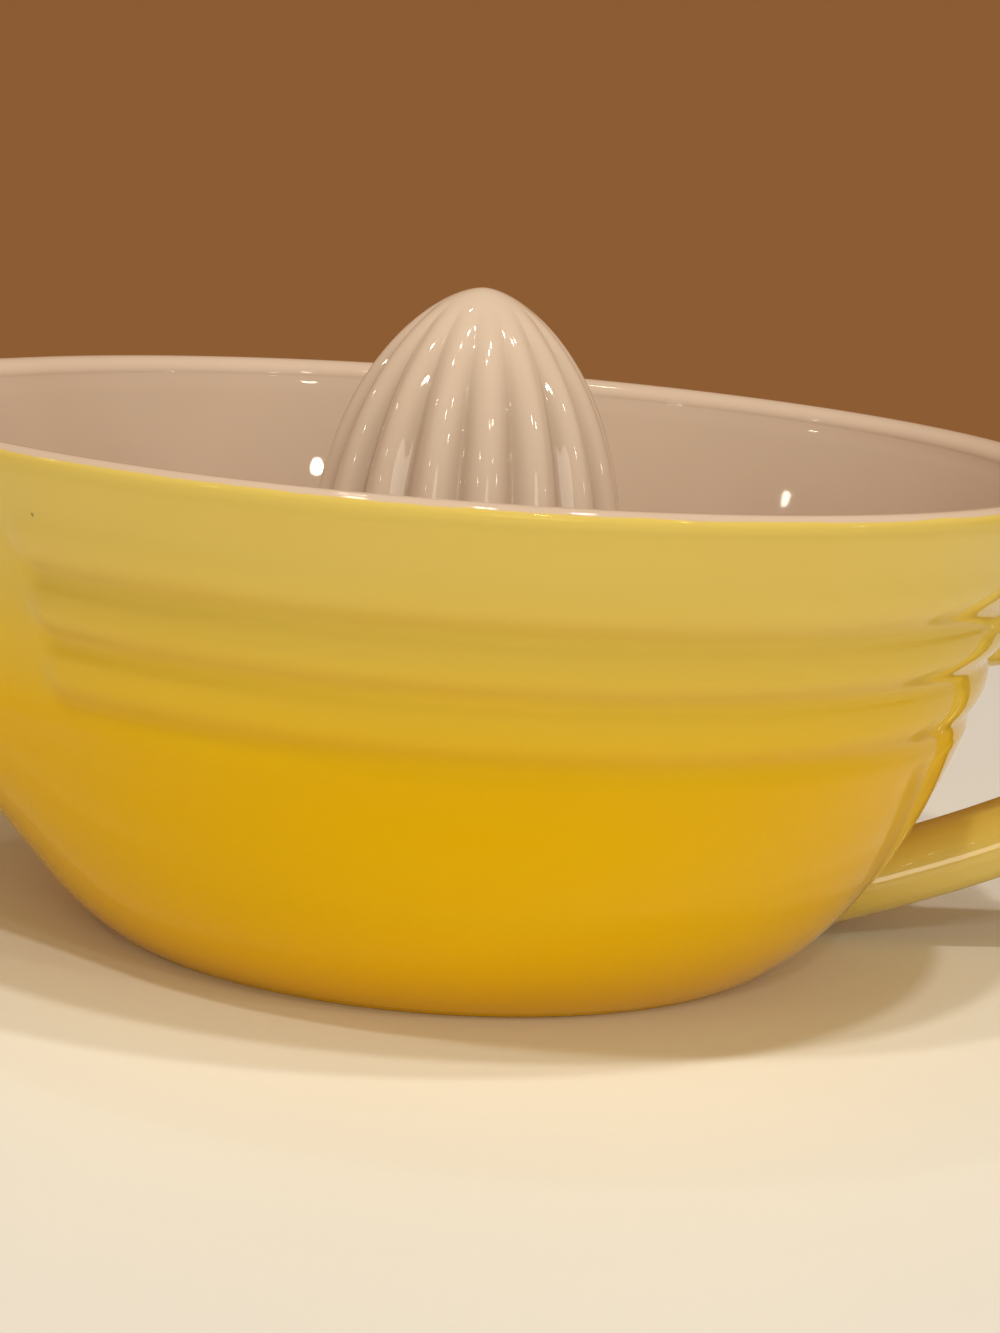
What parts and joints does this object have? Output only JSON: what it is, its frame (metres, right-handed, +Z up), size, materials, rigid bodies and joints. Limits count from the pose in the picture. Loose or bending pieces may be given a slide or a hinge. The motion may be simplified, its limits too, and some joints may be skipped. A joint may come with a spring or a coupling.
{
  "type": "citrus juicer",
  "caption": "Glazed stoneware citrus juicer: a ringed round bowl with a pouring spout, a loop handle and a fluted reamer standing in the middle.",
  "frame": {"origin": "on the table, under the middle of the whole part's box", "axes": "+X from the spout to the handle, +Z up out of the bowl, +Y to the left of someone who looks along +X"},
  "size_m": [0.2148, 0.1636, 0.0873],
  "materials": {
    "yellow_glaze": "gloss glaze, pale at the rim and deep yellow below, cream inside",
    "cream_glaze": "gloss cream glaze",
    "pale_yellow_glaze": "gloss pale yellow glaze"
  },
  "bodies": {
    "root": {"bowl": "yellow_glaze", "reamer": "cream_glaze", "handle": "pale_yellow_glaze"}
  },
  "joints": []
}
